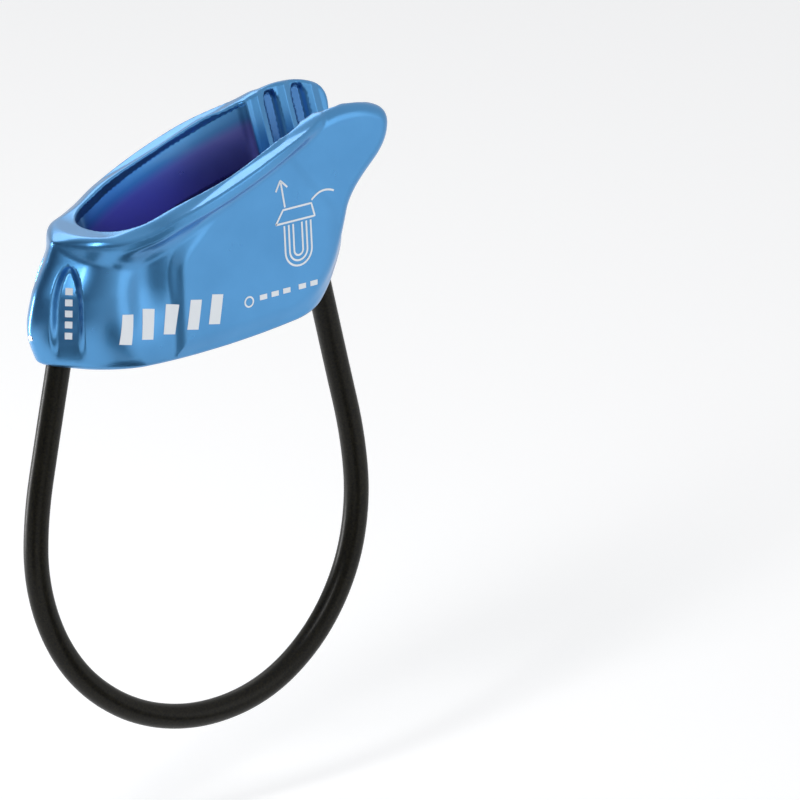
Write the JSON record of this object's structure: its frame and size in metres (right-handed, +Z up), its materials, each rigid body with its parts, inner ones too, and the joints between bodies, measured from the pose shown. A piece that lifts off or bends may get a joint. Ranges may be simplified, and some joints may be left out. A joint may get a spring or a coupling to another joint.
{
  "type": "belay device",
  "caption": "Single-slot tube belay device with a tapered forged body, a ribbed friction channel between raised ears, and a sheathed wire keeper loop below.",
  "frame": {"origin": "middle of the rope slot at the level of the body's underside", "axes": "+X along the slot from the climber end to the brake end, +Y through the depth to the back panel, +Z up through the slot towards the ears"},
  "size_m": [0.07, 0.028, 0.1041],
  "materials": {
    "anodised_body": "glossy sky-blue anodising over a smooth forged surface",
    "black_sheath": "satin black plastic tube with a fine speckle",
    "steel_rope": "twisted galvanised steel wire rope",
    "ferrule": "swaged plain steel sleeve",
    "pin_steel": "bright ground steel pin"
  },
  "bodies": {
    "root": {"body": "anodised_body", "left_ferrule": "ferrule", "right_ferrule": "ferrule", "left_lock_pin": "pin_steel", "right_lock_pin": "pin_steel", "rope_ends": "steel_rope", "sheath_ends": "black_sheath"},
    "keeper_loop": {"keeper_sheath": "black_sheath", "keeper_rope": "steel_rope"}
  },
  "joints": [
    {"name": "keeper_loop_flex", "type": "hinge", "parent": "root", "child": "keeper_loop", "pos_m": [0, 0, -0.0016], "axis": [1, 0, 0], "range_deg": [-35, 35], "stiffness_Nm_per_rad": 0.15}
  ]
}
